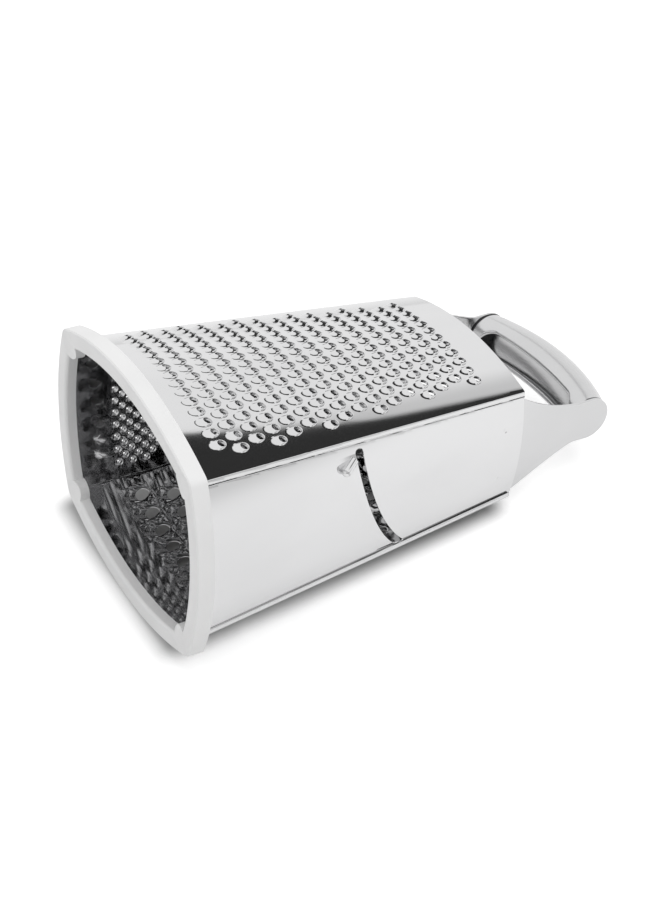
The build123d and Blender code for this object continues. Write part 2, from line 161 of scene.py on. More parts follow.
class SlicerSizes(bpy.types.PropertyGroup):
    """The slicing slot, its blade and the small relief tube beside it."""

    half_span: length("Half span", "Half the slot's reach across the face", 0.0288)
    low_end: length("Low end", "Height of the slot's mouthward end", 0.0812)
    high_end: length("High end", "Height of the slot's handleward end", 0.1072)
    bow: length("Slot bow", "How far the slot bows towards the mouth", 0.005)
    width: length("Slot width", "Width of the slot", 0.0039)
    ramp: length("Ramp", "Length of the ramp up to the blade's edge", 0.0085)
    rise: length("Blade rise", "Height of the blade's edge above the face", 0.0013)
    tube_radius: length("Tube radius", "Outside radius of the relief tube", 0.0021)
    tube_foot: position("Tube foot", "Across, up and above the face, where it sinks in", (-0.0264, 0.0782, 0))
    tube_nose: position("Tube nose", "Across, up and above the face, at its nose", (-0.0234, 0.0734, 0.0016))
    weld_spacing: length("Weld spacing", "Distance between the two weld dimples", 0.0257)
    weld_height: length("Weld height", "Height of the weld dimples", 0.160)
    weld_radius: length("Weld radius", "Radius of a weld dimple's rim", 0.0012)
    weld_depth: length("Weld depth", "Depth of a weld dimple", 0.0003)


class EarSizes(bpy.types.PropertyGroup):
    """The two ears that carry the grip."""

    sheet: length("Ear sheet", "Thickness of an ear", 0.0012)
    gap: length("Ear gap", "Gap between ear and panel", 0.0001)
    leg: length("Leg", "Length of the ear inside the panel", 0.018)
    half_width: length("Half width", "Half the width of the ear's leg", 0.025)
    waist_height: length("Waist height", "Height of the middle of the ear's flank", 0.1915)
    waist_half: length("Waist half width", "Half the ear's width at its waist", 0.0142)
    neck_height: length("Neck height", "Height where the flank meets the head", 0.205)
    neck_half: length("Neck half width", "Half the ear's width at its neck", 0.0103)
    fold_height: length("Fold height", "Height of the fold below the head", 0.2035)
    fold_round: length("Fold round", "Half the height that a fold is spread over", 0.003)
    head_height: length("Head height", "Height of the middle of the head", 0.2128)
    head_radius: length("Head radius", "Radius of the head", 0.0105)
    spread: length("Spread", "Distance between the ears' outer faces at the heads", 0.084)
    edge_round: length("Edge round", "Round on the ear's edges", 0.00035)


class GripSizes(bpy.types.PropertyGroup):
    """The arched tube of the handle."""

    end_height: length("End height", "Height of the grip's middle line at the ears", 0.2132)
    rise: length("Rise", "How far the middle line arches up", 0.0065)
    end_radius: length("End radius", "Radius of the tube at the ears", 0.0102)
    middle_radius: length("Middle radius", "Radius of the tube half way", 0.0113)
    wall: length("Wall", "Wall of the tube", 0.0008)
    gasket: length("Gasket", "Gap that the plug's rim fills at each end", 0.0009)
    mouth_width: length("Mouth width", "Width of the opening underneath", 0.015)
    mouth_margin: length("Mouth margin", "Distance from the grip's end to the opening", 0.0045)
    lip_roll: length("Lip roll", "Radius that the opening's edges roll inwards on", 0.0018)
    edge_round: length("Edge round", "Round on the tube's edges", 0.00024)


class Finishes(bpy.types.PropertyGroup):
    """Colours and gloss of the materials."""

    steel: colour("Steel", "Polished steel seen from outside", (0.73, 0.73, 0.735))
    # Painted shade: a darker tone of the steel for the sheets' inside, standing in for the shade inside the
    # box
    steel_inside_shaded: colour("Steel inside", "Dull steel on the inside of the sheets", (0.52, 0.52, 0.525))
    steel_satin: colour("Satin steel", "Brushed steel of the grip and ears", (0.66, 0.66, 0.665))
    white: colour("White", "White plastic of the ring", (0.83, 0.83, 0.83))
    black: colour("Black", "Black plastic of the plugs", (0.018, 0.018, 0.02))
    polish: share("Polish roughness", "Roughness of the polished steel", 0.06)
    polish_inside: share("Inside roughness", "Roughness of the sheets' inside", 0.036)
    satin: share("Satin roughness", "Roughness of the brushed grip", 0.17)
    satin_ear: share("Ear roughness", "Roughness of the brushed ears", 0.136)


class StageLook(bpy.types.PropertyGroup):
    """The floor, the surroundings, the overhead lamp and the camera."""

    camera_place: position("Camera place", "Where the camera stands", (0.502597, -0.412777, -0.220427))
    camera_back: direction("Camera back", "Direction to the camera", (0.687135, -0.578736, -0.439216))
    camera_up: direction("Camera up", "Direction that is up in the picture", (-0.526974, -0.813178, 0.247061))
    lens: FloatProperty(name="Lens", description="Focal length of the camera in millimetres", default=65.28)
    floor_size: length("Floor size", "Side of the floor", 6.0)
    floor_white: colour("Floor colour", "Colour of the floor", (0.8, 0.8, 0.8))
    # Painted shadow: how far the floor's colour is darkened beneath the body
    floor_painted_shadow: share("Floor shade", "Tone of the floor beneath the body, of its own colour", 0.45)
    floor_lift: share("Floor lift", "Light of its own that the floor shows, and that steel mirrors", 0.25)
    floor_bright: share("Floor brightness", "Light of its own that the floor shows to the camera alone", 0.22)
    sky: share("Sky", "Light of the surroundings on the object", 0.72)
    gap_dark: share("Gap darkness", "How dark the gap is that polished steel mirrors", 0.965)
    key: FloatProperty(name="Key lamp", description="Power of the overhead lamp", default=5.5, unit="POWER")
    key_size: length("Key lamp size", "Side of the overhead lamp", 1.0)
    key_distance: length("Key lamp distance", "Distance of the overhead lamp", 1.2)
    key_from: direction("Key lamp from", "Direction that the overhead lamp stands in", (0.25, -1.0, 0.05))


# Small helpers for modelling


def group(name):
    return getattr(bpy.context.scene, "grater_" + name)


def deselect():
    bpy.ops.object.select_all(action="DESELECT")


def only(piece):
    """Makes a piece the only selected and the active one."""
    deselect()
    piece.select_set(True)
    bpy.context.view_layer.objects.active = piece
    return piece


def added(name):
    piece = bpy.context.object
    piece.name = name
    return only(piece)


def put(piece, placed):
    """Moves each selected vertex to the place that a function gives for it."""
    mesh = bmesh.from_edit_mesh(piece.data)
    for vertex in mesh.verts:
        if vertex.select:
            vertex.co = placed(vertex.co)
    bmesh.update_edit_mesh(piece.data)


def copied(piece, location):
    made = piece.copy()
    made.data = piece.data.copy()
    made.location = location
    bpy.context.collection.objects.link(made)
    return made


def joined(pieces, name):
    deselect()
    for piece in pieces:
        piece.select_set(True)
    bpy.context.view_layer.objects.active = pieces[0]
    bpy.ops.object.join()
    bpy.ops.object.transform_apply(location=True, rotation=True, scale=True)
    return added(name)


def modified(piece, kind, **settings):
    """Adds a modifier and applies it."""
    only(piece)
    modifier = piece.modifiers.new(kind.title(), kind)
    for key, value in settings.items():
        setattr(modifier, key, value)
    bpy.ops.object.modifier_apply(modifier=modifier.name)


@contextmanager
def editing(piece):
    """Edit mode on one piece, which starts with all of it selected."""
    only(piece)
    bpy.ops.object.mode_set(mode="EDIT")
    bpy.ops.mesh.select_all(action="SELECT")
    yield
    bpy.ops.object.mode_set(mode="OBJECT")


def reshaped(piece, placed):
    with editing(piece):
        put(piece, placed)


def merged(piece):
    with editing(piece):
        bpy.ops.mesh.remove_doubles(threshold=CLOSE)


def facing_out(piece):
    with editing(piece):
        bpy.ops.mesh.normals_make_consistent(inside=False)


def walled(piece, thickness, **settings):
    """Gives a surface its thickness, inwards from its outside."""
    modified(piece, "SOLIDIFY", thickness=thickness, offset=-1, use_even_offset=True, **settings)


def edged(piece, width, segments):
    """Rounds the sharp edges."""
    modified(piece, "BEVEL", width=width, segments=segments, limit_method="ANGLE", angle_limit=radians(50))


def smoothed(piece, degrees=40):
    only(piece)
    bpy.ops.object.shade_smooth_by_angle(angle=radians(degrees))


def dressed(piece, slot, node, *materials):
    """Gives a finished piece its materials and says what it stands for."""
    for material in materials:
        piece.data.materials.append(material)
    if not piece.data.polygons or not piece.data.materials:
        raise RuntimeError(piece.name + " has no faces or no material")
    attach(piece, "root")
    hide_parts(node)


def mix(first, second, amount):
    return first + (second - first) * amount


def eased(amount):
    amount = min(1, max(0, amount))
    return amount * amount * (3 - 2 * amount)


# The body's form: where a point of a flat sheet goes once it is bowed and folded


def half_width(height):
    body = group("body")
    return mix(body.foot_width, body.top_width, height / body.height) / 2


def half_depth(height):
    body = group("body")
    return mix(body.foot_depth, body.top_depth, height / body.height) / 2


def bow(radius, half_chord):
    return radius - sqrt(radius**2 - half_chord**2)


def wide_reach(height):
    """Distance over the bowed wide face from its middle to the corner."""
    radius = group("body").wide_bow
    return radius * asin(half_width(height) / radius)


def narrow_radius():
    body = group("body")
    return body.narrow_bow - body.sheet - body.seam_gap


def narrow_reach(height):
    """Distance over the bowed narrow sheet from its middle to its edge."""
    body = group("body")
    return narrow_radius() * (asin(half_depth(height) / body.narrow_bow) - body.setback / body.narrow_bow)


def narrow_middle(height):
    body = group("body")
    return half_width(height) + bow(body.narrow_bow, half_depth(height)) - body.narrow_bow


def hem_lift(beyond):
    """The hem's groove, by distance from the corner."""
    body = group("body")
    near = abs(beyond - body.groove) / body.groove_width
    return -body.groove_depth * (1 - eased(near)) if near < 1 else 0


def wide_place(point):
    """Where a point of the flat wide sheet goes: bowed, and folded over the corners."""
    body = group("body")
    height = min(max(point.y, 0), body.height)
    half, depth = half_width(height), half_depth(height)
    side, across, out = (1 if point.x >= 0 else -1), abs(point.x), point.z
    corner_turn, narrow_turn = asin(half / body.wide_bow), asin(depth / body.narrow_bow)
    bend = pi / 2 - narrow_turn - corner_turn
    setback = body.fold * tan(bend / 2)
    start = body.wide_bow * corner_turn - setback
    centre_y = body.wide_bow - depth - bow(body.wide_bow, half)
    beyond = across - start - body.fold * bend
    if beyond > 0:
        out += hem_lift(setback + beyond)
        angle = (setback + beyond) / body.narrow_bow - narrow_turn
        x = narrow_middle(height) + (body.narrow_bow + out) * cos(angle)
        y = (body.narrow_bow + out) * sin(angle)
    else:
        face_turn = min(across, start) / body.wide_bow
        bent = face_turn + max(0, across - start) / body.fold
        inner = body.wide_bow - body.fold
        x = inner * sin(face_turn) + (body.fold + out) * sin(bent)
        y = centre_y - inner * cos(face_turn) - (body.fold + out) * cos(bent)
    return Vector((side * x, y, point.y))


def narrow_place(point):
    """Where a point of the flat narrow sheet goes once it is bowed."""
    radius = narrow_radius()
    angle = point.x / radius
    middle = narrow_middle(min(max(point.y, 0), group("body").height))
    return Vector((middle + (radius + point.z) * cos(angle), (radius + point.z) * sin(angle), point.y))


def kept(place):
    """A place on the front or right face, where every sheet is first bowed."""
    return place


def turned(place):
    """The same place on the opposite face."""
    return Vector((-place.x, -place.y, place.z))


def cut_flat(start, end, drop=False):
    """Cuts the flat sheet that is being edited along a line, and may drop what lies right of it."""
    across = Vector((end[1] - start[1], start[0] - end[0], 0)).normalized()
    bpy.ops.mesh.select_all(action="SELECT")
    bpy.ops.mesh.bisect(plane_co=(*start, 0), plane_no=across, clear_outer=drop)


def trimmed(sheet, reach, inner_lines):
    """Trims a flat sheet to the body's taper and cuts the lines that it is folded along."""
    low, high = group("body").foot, group("body").height
    with editing(sheet):
        cut_flat((-1, low), (1, low), True)
        cut_flat((1, high), (-1, high), True)
        for beyond in inner_lines:
            last = beyond == inner_lines[-1]
            cut_flat((reach(low) + beyond, low), (reach(high) + beyond, high), last)
            cut_flat((-reach(high) - beyond, high), (-reach(low) - beyond, low), last)


# Pressed teeth: one cell of flat sheet is modelled and copied over the field


def rectangle_points(width, height, parts):
    """The points round a rectangle, anticlockwise from the middle of its right side."""
    half, tall = width / 2, height / 2
    right = [(half, tall * (2 * step / parts - 1)) for step in range(parts)]
    top = [(half * (1 - 2 * step / parts), tall) for step in range(parts)]
    points = right + top + [(-x, -y) for x, y in right + top]
    return points[parts // 2:] + points[:parts // 2]


def diamond_points(half_across, half_up, parts):
    """The points round a diamond, anticlockwise from its right corner."""
    corners = [(half_across, 0), (0, half_up), (-half_across, 0), (0, -half_up), (half_across, 0)]
    return [
        (mix(x1, x2, step / parts), mix(y1, y2, step / parts))
        for (x1, y1), (x2, y2) in zip(corners, corners[1:]) for step in range(parts)
    ]


def tooth_cell(name, outline, middle, rings):
    """A patch of sheet round a pressed form. A ring is a middle, two half sizes, a height, a lean
    and a raggedness, from the opening outwards."""
    bpy.ops.mesh.primitive_circle_add(vertices=len(outline), radius=1)
    piece = added(name)
    with editing(piece):
        mesh = bmesh.from_edit_mesh(piece.data)
        for centre, half_across, half_up, height, lean, ragged in rings:
            ring = ordered_ring(mesh)
            for step, vertex in enumerate(ring):
                angle = 2 * pi * step / len(ring)
                y = half_up * sin(angle)
                jag = ragged if step % 2 else -ragged
                vertex.co = (half_across * cos(angle), centre + y - middle, height - lean * y + jag)
            bmesh.update_edit_mesh(piece.data)
            bpy.ops.mesh.extrude_edges_move()
            mesh = bmesh.from_edit_mesh(piece.data)
        for vertex, (x, y) in zip(ordered_ring(mesh), outline):
            vertex.co = (x, y, 0)
        bmesh.update_edit_mesh(piece.data)
    facing_out(piece)
    if sum(face.normal.z for face in piece.data.polygons) < 0:
        piece.data.flip_normals()
    return piece


def ordered_ring(mesh):
    """The selected vertices in order of their angle round their middle, from +X."""
    ring = [vertex for vertex in mesh.verts if vertex.select]
    centre = sum((vertex.co for vertex in ring), Vector()) / len(ring)
    slack = 0.01

    def angle(vertex):
        away = vertex.co - centre
        return (atan2(away.y, away.x) + slack) % (2 * pi)

    return sorted(ring, key=angle)


def square_cell(name, field, parts):
    """A patch of sheet without a tooth, for the wide faces."""
    bpy.ops.mesh.primitive_grid_add(x_subdivisions=parts, y_subdivisions=parts, size=1)
    piece = added(name)
    with editing(piece):
        bpy.ops.transform.resize(value=(field.across, field.up, 1))
    return piece


def diamond_cell(name, outline):
    """A patch of sheet without a point, for the fine face."""
    bpy.ops.mesh.primitive_circle_add(vertices=len(outline), radius=1, fill_type="NGON")
    piece = added(name)
    quarter = len(outline) // 4
    for vertex, (x, y) in zip(piece.data.vertices, outline[quarter:] + outline[:quarter]):
        vertex.co = (x, y, 0)
    return piece


def laid_out(name, field, tooth, blank, widest):
    """Copies the cells over a flat sheet in staggered rows and welds them together."""
    body = group("body")
    lowest = floor((body.foot - field.first_row) / field.up) - 1
    highest = ceil((body.height - field.first_row) / field.up) + 1
    cells = []
    for row in range(lowest, highest + 1):
        height = field.first_row + row * field.up
        limit = mix(field.half_low, field.half_high, row / (field.rows - 1)) + body.sheet / 10
        shift = field.across / 2 * (row % 2) + field.shift
        steps = ceil((widest + field.across) / field.across)
        for step in range(-steps, steps + 1):
            offset = step * field.across + shift
            toothed = 0 <= row < field.rows and abs(offset - field.shift) <= limit
            cells.append(copied(tooth if toothed else blank, (offset, height + field.middle, 0)))
    sheet = joined(cells, name)
    merged(sheet)
    for cell in (tooth, blank):
        bpy.data.objects.remove(cell)
    return sheet


def thinned(sheet, rise):
    """Marks how thick the sheet is: it thins out towards the raised rims."""
    marks = sheet.vertex_groups.new(name="thickness")
    for vertex in sheet.data.vertices:
        raised = min(1, max(0, vertex.co.z / rise))
        marks.add([vertex.index], 1 - group("body").thinning * raised, "REPLACE")


def thickened(sheet):
    """Gives a sheet its thickness, polished outside and dull inside."""
    for material in (polished_steel(), shade_painted_steel()):
        sheet.data.materials.append(material)
    walled(sheet, group("body").sheet, material_offset=1, vertex_group="thickness", thickness_vertex_group=0)


def hood_rings(field, lip, lip_length, shoulder, flank, skirt):
    """The rings of a hooded tooth. Its shoulder lies a lip behind the opening, lip_length lips longer.
    Shoulder is a rise and a lean, flank a length, a rise and a lean, and skirt a width and a length, as
    shares of the tooth's own."""
    wall = (field.half_width - field.hole_half_width) / 3
    half_way = mix(field.hole_middle, field.middle, 0.5)
    return [
        (field.hole_middle, field.hole_half_width, field.hole_half_length, field.rise, field.lean, 0),
        (
            field.hole_middle - lip, field.hole_half_width + wall, field.hole_half_length + lip * lip_length,
            field.rise * shoulder[0], field.lean * shoulder[1], 0,
        ),
        (
            half_way, field.half_width - wall, field.half_length * flank[0],
            field.rise * flank[1], field.lean * flank[2], 0,
        ),
        (field.middle, field.half_width, field.half_length, 0, 0, 0),
        (field.middle, field.half_width * skirt[0], field.half_length * skirt[1], 0, 0, 0),
    ]


# How finely the wide sheets are cut: parts along a cell's side, the lines round a corner in fold radii,
# and those round the hem's groove in half groove widths
CELL_PARTS = 4
FOLD_LINES = (-0.42, -0.2, 0, 0.18, 0.38)
GROOVE_LINES = (-1, -0.5, 0, 0.5, 1)


def wide_panel(name, field, rings, node, side):
    """A wide face: teeth pressed in flat sheet, which is bowed and folded over both corners."""
    body = group("body")
    outline = rectangle_points(field.across, field.up, CELL_PARTS)
    tooth = tooth_cell(name + "_tooth", outline, field.middle, rings)
    blank = square_cell(name + "_blank", field, CELL_PARTS)
    sheet = laid_out(name, field, tooth, blank, wide_reach(body.foot) + body.hem)
    lines = [body.fold * step for step in FOLD_LINES]
    lines += [body.groove + body.groove_width * step for step in GROOVE_LINES]
    trimmed(sheet, wide_reach, lines + [body.hem - body.tab_round, body.hem])
    edge, low, high = wide_reach(body.height) + body.hem, body.height - body.tab_round, body.height
    with editing(sheet):
        cut_flat((edge, low), (edge - body.tab_round, high), True)
        cut_flat((body.tab_round - edge, high), (-edge, low), True)
    thinned(sheet, field.rise)
    reshaped(sheet, lambda point: side(wide_place(point)))
    thickened(sheet)
    merged(sheet)
    smoothed(sheet)
    dressed(sheet, "polished_steel", node)


def narrow_panel(sheet, rise, side):
    """Trims a flat narrow sheet, bows it, gives it its thickness and presses its two weld dimples."""
    trimmed(sheet, narrow_reach, [0])
    thinned(sheet, rise)
    reshaped(sheet, lambda point: side(narrow_place(point)))
    thickened(sheet)
    balls = joined(weld_balls(), sheet.name + "_dimples")
    reshaped(balls, side)
    modified(sheet, "BOOLEAN", operation="DIFFERENCE", object=balls, solver="EXACT")
    bpy.data.objects.remove(balls)


def weld_balls():
    """Balls that press the two weld dimples into a narrow sheet."""
    sizes = group("slicer")
    radius = (sizes.weld_radius**2 + sizes.weld_depth**2) / (2 * sizes.weld_depth)
    balls = []
    for side in (-1, 1):
        bpy.ops.mesh.primitive_uv_sphere_add(segments=40, ring_count=24, radius=radius)
        ball = added("weld_ball")
        spot = Vector((side * sizes.weld_spacing / 2, sizes.weld_height, radius - sizes.weld_depth))
        ball.location = narrow_place(spot)
        balls.append(ball)
    return balls


class GRATER_OT_medium_face(bpy.types.Operator):
    """Model the wide face with the medium grating teeth"""

    bl_idname = "grater.medium_face"
    bl_label = "Medium face"

    def execute(self, context):
        field = group("medium")
        lip = field.hole_half_width / 8
        rings = hood_rings(
            field, lip, lip_length=1.3, shoulder=(0.84, 0.9), flank=(0.76, 0.4, 0.46), skirt=(1.12, 1.06)
        )
        wide_panel("medium_face", field, rings, "front_panel", kept)
        return {"FINISHED"}


class GRATER_OT_coarse_face(bpy.types.Operator):
    """Model the wide face with the coarse grating teeth"""

    bl_idname = "grater.coarse_face"
    bl_label = "Coarse face"

    def execute(self, context):
        field = group("coarse")
        lip = (field.half_width - field.hole_half_width) / 6
        rings = hood_rings(
            field, lip, lip_length=2.6, shoulder=(0.9, 0.95), flank=(0.79, 0.5, 0.56), skirt=(1.07, 1.03)
        )
        wide_panel("coarse_face", field, rings, "back_panel", turned)
        return {"FINISHED"}


class GRATER_OT_fine_face(bpy.types.Operator):
    """Model the narrow face with the fine raised points"""

    bl_idname = "grater.fine_face"
    bl_label = "Fine face"

    dome = ((0.4, 0.92), (0.68, 0.66), (0.88, 0.22), (1, 0))  # radius and height of a point's rings
    side_parts = 3

    def execute(self, context):
        field = group("fine")
        size, rise = field.half_width, field.rise
        rings = [(0, field.hole_half_width, field.hole_half_length, rise, 0, rise * field.lean)]
        rings += [(0, size * wide, size * wide, rise * high, 0, 0) for wide, high in self.dome]
        outline = diamond_points(field.across / 2, field.up, self.side_parts)
        point = tooth_cell("fine_face_point", outline, field.middle, rings)
        blank = diamond_cell("fine_face_blank", outline)
        sheet = laid_out("fine_face", field, point, blank, narrow_reach(group("body").foot))
        narrow_panel(sheet, rise, turned)
        smoothed(sheet)
        dressed(sheet, "polished_steel", "left_panel")
        return {"FINISHED"}


def slot_line(across):
    """Height of the slot's middle line, and its slope, at a place across the face."""
    sizes = group("slicer")
    run, climb = 2 * sizes.half_span, sizes.high_end - sizes.low_end
    chord = sqrt(run**2 + climb**2)
    radius = ((chord / 2) ** 2 + sizes.bow**2) / (2 * sizes.bow)
    lean = atan(climb / run)
    middle = (sizes.low_end + sizes.high_end) / 2
    centre_x, centre_y = -(radius - sizes.bow) * sin(lean), middle + (radius - sizes.bow) * cos(lean)
    away = across - centre_x
    return centre_y - sqrt(radius**2 - away**2), away / sqrt(radius**2 - away**2)


def slot_half(across):
    """Half the slot's opening along the height, with round ends."""
    sizes = group("slicer")
    radius = sizes.width / 2
    stretch = sqrt(1 + slot_line(across)[1] ** 2)
    run = (abs(across) - sizes.half_span) * stretch
    if run >= radius:
        return 0
    half = radius if run <= 0 else sqrt(radius**2 - run**2)
    return half * stretch


class GRATER_OT_slicing_face(bpy.types.Operator):
    """Model the narrow face with the slot, its blade and the relief tube"""

    bl_idname = "grater.slicing_face"
    bl_label = "Slicing face"

    columns, end_columns = 96, 12
    rows_below, rows_above, ramp_rows = 30, 22, 12
    spread_below, spread_above = 1.3, 1.6  # how fast the rows grow wider away from the slot
    tube_sides, tube_parts, nose_rings = 40, 3, 8
    painted_dark_ring = (0.15, 0.6)  # the nose's ring in the darker inside steel, a painted dark reflection, in radii from its foot

    def execute(self, context):
        body = group("body")
        rows = self.rows_below + self.rows_above + 1
        bpy.ops.mesh.primitive_grid_add(x_subdivisions=self.columns, y_subdivisions=rows, size=2)
        sheet = added("slicing_face")
        tips = [side * self.tip(side) for side in (-1, 1)]
        stations = self.stations(narrow_reach(body.foot) + body.hem, tips)
        with editing(sheet):
            mesh = bmesh.from_edit_mesh(sheet.data)
            slot_faces = []
            for face in mesh.faces:
                centre = face.calc_center_median()
                row = int((centre.y + 1) / 2 * rows)
                column = int((centre.x + 1) / 2 * self.columns)
                inside = tips[0] <= stations[column] and stations[column + 1] <= tips[1] + CLOSE
                if row == self.rows_below and inside:
                    slot_faces.append(face)
            bmesh.ops.delete(mesh, geom=slot_faces, context="FACES")
            for vertex in mesh.verts:
                column = round((vertex.co.x + 1) / 2 * self.columns)
                row = round((vertex.co.y + 1) / 2 * rows)
                vertex.co = self.flat_place(stations[column], row)
            bmesh.update_edit_mesh(sheet.data)
        merged(sheet)
        narrow_panel(sheet, group("slicer").rise, kept)
        smoothed(sheet, 30)
        dressed(joined([sheet, self.tube()], "slicing_face"), "polished_steel", "right_panel")
        return {"FINISHED"}

    def tip(self, side):
        """Distance from the middle to the slot's very end."""
        sizes = group("slicer")
        slope = slot_line(side * sizes.half_span)[1]
        return sizes.half_span + sizes.width / 2 / sqrt(1 + slope**2)

    def stations(self, widest, tips):
        """Places of the columns: even over the slot, closer where its ends are round."""
        radius = group("slicer").width / 2
        ends = self.end_columns
        middle = self.columns - 4 * ends
        low, high = tips[0] + radius, tips[1] - radius
        found = [mix(-widest, tips[0], step / ends) for step in range(ends)]
        found += [tips[0] + radius * (1 - cos(pi / 2 * step / ends)) for step in range(ends)]
        found += [mix(low, high, step / middle) for step in range(middle)]
        found += [high + radius * sin(pi / 2 * step / ends) for step in range(ends)]
        return found + [mix(tips[1], widest, step / ends) for step in range(ends + 1)]

    def flat_place(self, across, row):
        """Where a corner of the grid lies on the flat sheet, with the blade's ramp raised."""
        body, sizes = group("body"), group("slicer")
        middle, slope = slot_line(across)
        half = slot_half(across)
        if row > self.rows_below:
            amount = (row - self.rows_below - 1) / self.rows_above
            high = mix(middle + half, body.height + body.sheet, amount**self.spread_above)
            return Vector((across, high, 0))
        from_slot = self.rows_below - row
        ramp = sizes.ramp * sqrt(1 + slope**2)
        if from_slot <= self.ramp_rows:
            amount = from_slot / self.ramp_rows
            along = (across + sizes.half_span) / (2 * sizes.half_span)
            swell = sqrt(sin(pi * along)) if 0 < along < 1 else 0
            return Vector((across, middle - half - ramp * amount, sizes.rise * swell * (1 - eased(amount))))
        amount = (from_slot - self.ramp_rows) / (self.rows_below - self.ramp_rows)
        low = mix(middle - half - ramp, body.foot - body.sheet, amount**self.spread_below)
        return Vector((across, low, 0))

    def tube(self):
        """The relief tube, which rises out of the face beside the slot's mouthward end to a round nose."""
        sizes, radius = group("slicer"), group("slicer").tube_radius
        foot, nose = (narrow_place(Vector(spot)) for spot in (sizes.tube_foot, sizes.tube_nose))
        way = (nose - foot).normalized()
        bpy.ops.mesh.primitive_circle_add(vertices=self.tube_sides, radius=radius)
        piece = added("relief_tube")
        piece.matrix_world = Matrix.Translation(foot) @ way.to_track_quat("Z", "X").to_matrix().to_4x4()
        bpy.ops.object.transform_apply(location=True, rotation=True, scale=True)

        def on_nose(point):
            away = point - nose
            away = (away - way * away.dot(way)).normalized()
            return nose + (away * cos(angle) + way * sin(angle)) * radius

        with editing(piece):
            step = (nose - foot) / self.tube_parts
            for _ in range(self.tube_parts):
                bpy.ops.mesh.extrude_edges_move(TRANSFORM_OT_translate={"value": step})
            for ring in range(1, self.nose_rings + 1):
                angle = pi / 2 * ring / self.nose_rings
                bpy.ops.mesh.extrude_edges_move()
                put(piece, on_nose)
        merged(piece)
        facing_out(piece)
        smoothed(piece)
        for material in (polished_steel(), shade_painted_steel()):
            piece.data.materials.append(material)
        # Painted reflection: a ring of the nose gets the darker inside steel, for a dark reflection round it
        for face in piece.data.polygons:
            along = (face.center - nose).dot(way) / radius
            face.material_index = int(self.painted_dark_ring[0] < along < self.painted_dark_ring[1])
        return piece


# Ears


def flank_half(height):
    """Half the ear's width at a height."""
    sizes, body = group("ear"), group("body")
    if height <= body.height:
        return sizes.half_width
    if height >= sizes.head_height:
        return sqrt(max(0, sizes.head_radius**2 - (height - sizes.head_height) ** 2))
    if height >= sizes.neck_height:
        amount = (height - sizes.neck_height) / (sizes.head_height - sizes.neck_height)
        return mix(sizes.neck_half, sizes.head_radius, amount)
    low = Vector((sizes.half_width, body.height))
    middle = Vector((sizes.waist_half, sizes.waist_height))
    high = Vector((sizes.neck_half, sizes.neck_height))
    centre, radius = circle_through(low, middle, high)
    return centre.x - sqrt(radius**2 - (height - centre.y) ** 2)


def circle_through(first, second, third):
    """Middle and radius of the circle through three points of a plane."""
    a, b = second - first, third - first
    cross = 2 * (a.x * b.y - a.y * b.x)
    middle = Vector((
        (b.y * a.length_squared - a.y * b.length_squared) / cross,
        (a.x * b.length_squared - b.x * a.length_squared) / cross,
    ))
    return first + middle, middle.length


def ear_reach(height, across):
    """How far out the ear's outer face lies: inside the panel, then out to the head. Its folds are
    rounded by the mean over the heights near by."""
    body, sizes, steps = group("body"), group("ear"), 4
    radius = narrow_radius() - body.sheet - sizes.gap

    def straight(level):
        if level <= body.height:
            return narrow_middle(max(level, 0)) + radius, 1
        crown = narrow_middle(body.height) + radius
        amount = min(1, (level - body.height) / (sizes.fold_height - body.height))
        return mix(crown, sizes.spread / 2, amount), 1 - amount

    found = [straight(height + sizes.fold_round * step / steps) for step in range(-steps, steps + 1)]
    crown, bowed = (sum(values) / len(found) for values in zip(*found))
    return crown - bowed * bow(radius, across)


class GRATER_OT_ears(bpy.types.Operator):
    """Model the two ears that rise from the narrow panels to the grip"""

    bl_idname = "grater.ears"
    bl_label = "Ears"

    columns, rows, head_rows = 28, 84, 22

    def execute(self, context):
        for side, name in ((1, "right"), (-1, "left")):
            self.ear(side, name)
        return {"FINISHED"}

    def ear(self, side, name):
        body, sizes = group("body"), group("ear")
        bpy.ops.mesh.primitive_grid_add(x_subdivisions=self.columns, y_subdivisions=self.rows, size=2)
        piece = added(name + "_ear_plate")
        body_rows = self.rows - self.head_rows

        def placed(point):
            row = round((point.y + 1) / 2 * self.rows)
            if row <= body_rows:
                height = mix(body.height - sizes.leg, sizes.head_height, row / body_rows)
            else:
                turn = pi / 2 * (row - body_rows) / self.head_rows
                height = sizes.head_height + sizes.head_radius * sin(turn)
            across = point.x * flank_half(height)
            return Vector((side * ear_reach(height, across), side * across, height))

        reshaped(piece, placed)
        merged(piece)
        walled(piece, sizes.sheet)
        edged(piece, sizes.edge_round, 3)
        smoothed(piece, 50)
        dressed(piece, "satin_steel", name + "_ear", ear_steel())


# Grip


def grip_half():
    return group("ear").spread / 2 - group("ear").sheet - group("grip").gasket


def grip_middle(x):
    sizes = group("grip")
    return sizes.end_height + sizes.rise * (1 - (x / grip_half()) ** 2)


def grip_radius(x):
    sizes = group("grip")
    return mix(sizes.middle_radius, sizes.end_radius, (x / grip_half()) ** 2)


def mouth_turn(x):
    """Half the angle that the opening takes from the tube's underside."""
    radius = group("grip").mouth_width / 2
    past = abs(x) - (grip_half() - group("grip").mouth_margin - radius)
    if past >= radius:
        return 0
    half = radius if past <= 0 else sqrt(radius**2 - past**2)
    return asin(half / grip_radius(x))


